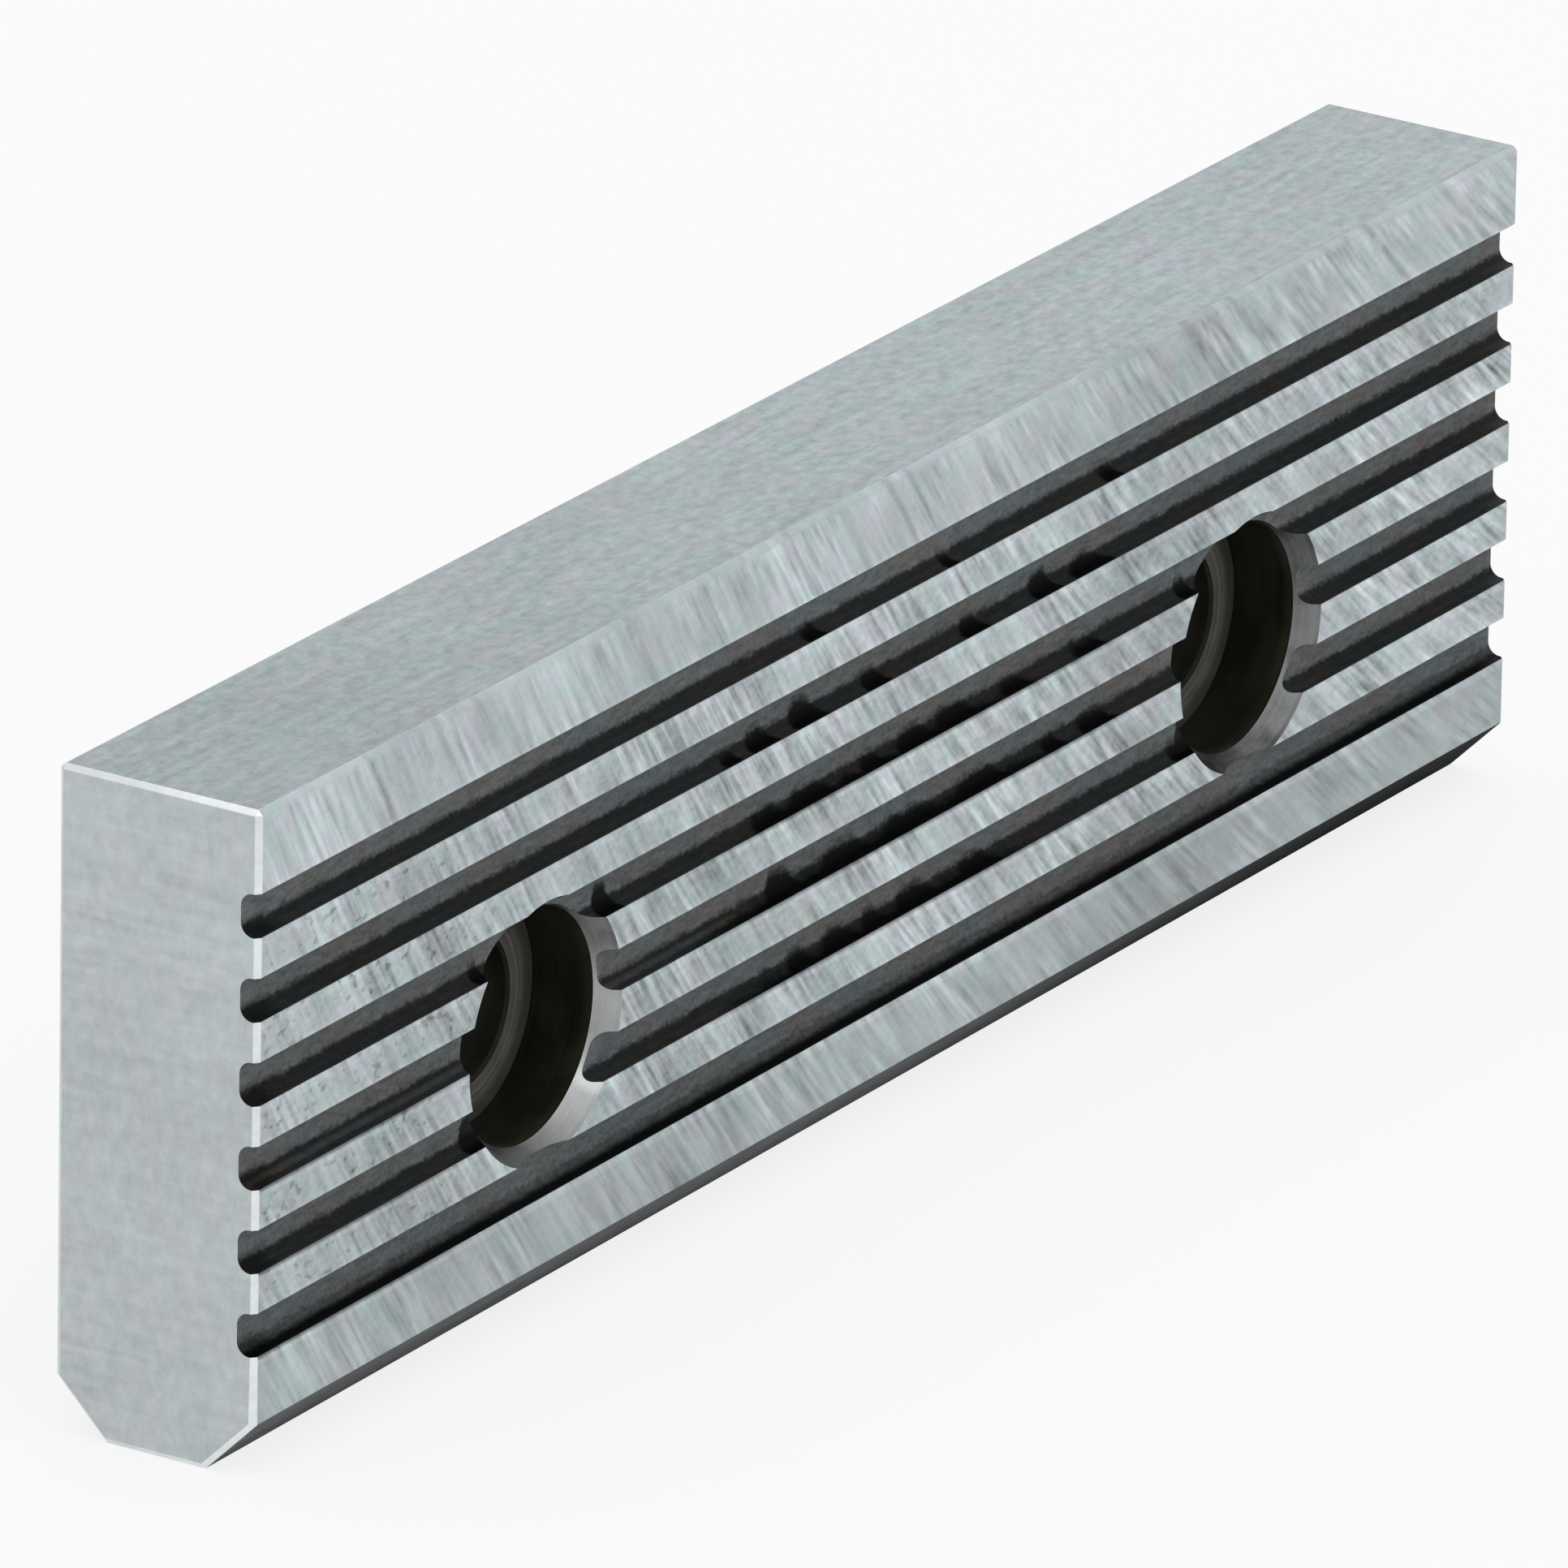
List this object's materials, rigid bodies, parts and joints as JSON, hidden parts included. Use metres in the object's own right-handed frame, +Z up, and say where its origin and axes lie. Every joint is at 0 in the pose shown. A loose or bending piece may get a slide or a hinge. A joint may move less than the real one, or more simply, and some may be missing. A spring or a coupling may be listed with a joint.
{
  "type": "vise jaw",
  "caption": "Ground steel vise jaw plate with a grooved gripping face, counterbored screw holes and a chamfered foot.",
  "frame": {"origin": "middle of the footprint, at the height of the lowest face", "axes": "+X along the jaw, +Y from the grooved gripping face to the plain seating face, +Z up to the top face"},
  "size_m": [0.135, 0.0134, 0.04],
  "materials": {
    "ground_steel": "surface ground, satin"
  },
  "bodies": {
    "root": {"jaw_plate": "ground_steel"}
  },
  "joints": []
}
